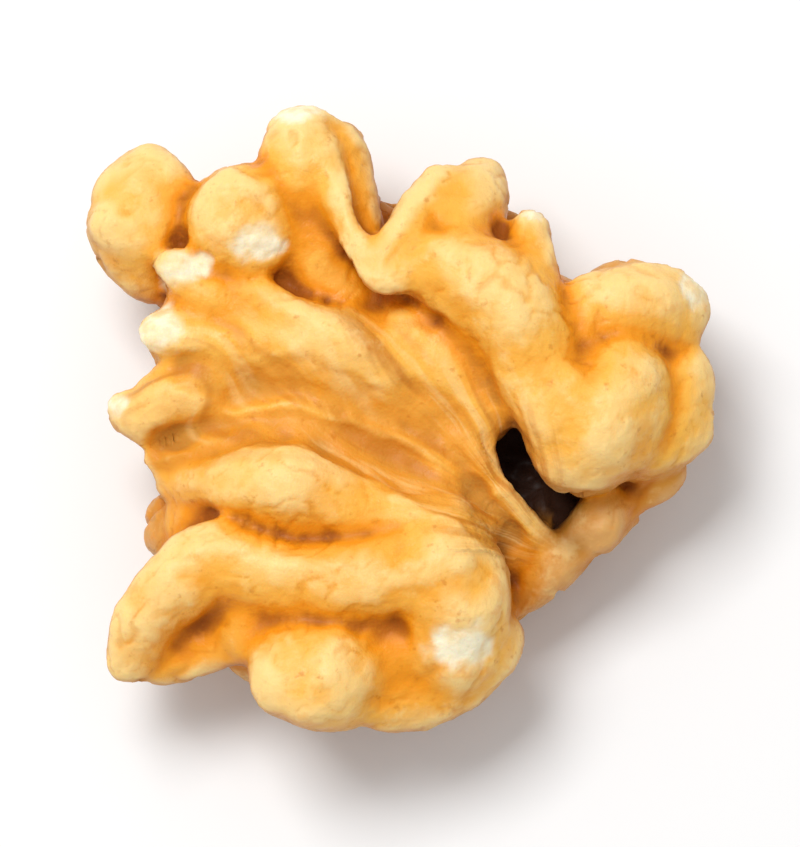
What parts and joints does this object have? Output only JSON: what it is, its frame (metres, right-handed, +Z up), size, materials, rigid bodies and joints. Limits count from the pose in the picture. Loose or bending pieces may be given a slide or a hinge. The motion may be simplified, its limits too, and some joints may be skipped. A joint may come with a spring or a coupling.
{
  "type": "shelled walnut half kernel",
  "caption": "Half of a shelled walnut kernel: deeply folded lobes around a fibrous cleft, lying on its rounded back with the inner face up.",
  "frame": {"origin": "centre of the kernel's footprint, at the height of the surface that it rests on", "axes": "+Z up, out of the inner face; +X along the cleft between the lobes, towards its open slit; +Y towards the lobe with the two fingers"},
  "size_m": [0.03, 0.0298, 0.0129],
  "materials": {
    "kernel_skin": "thin waxy seed skin, golden amber with paler chips and darker creases"
  },
  "bodies": {
    "root": {"kernel": "kernel_skin"}
  },
  "joints": []
}
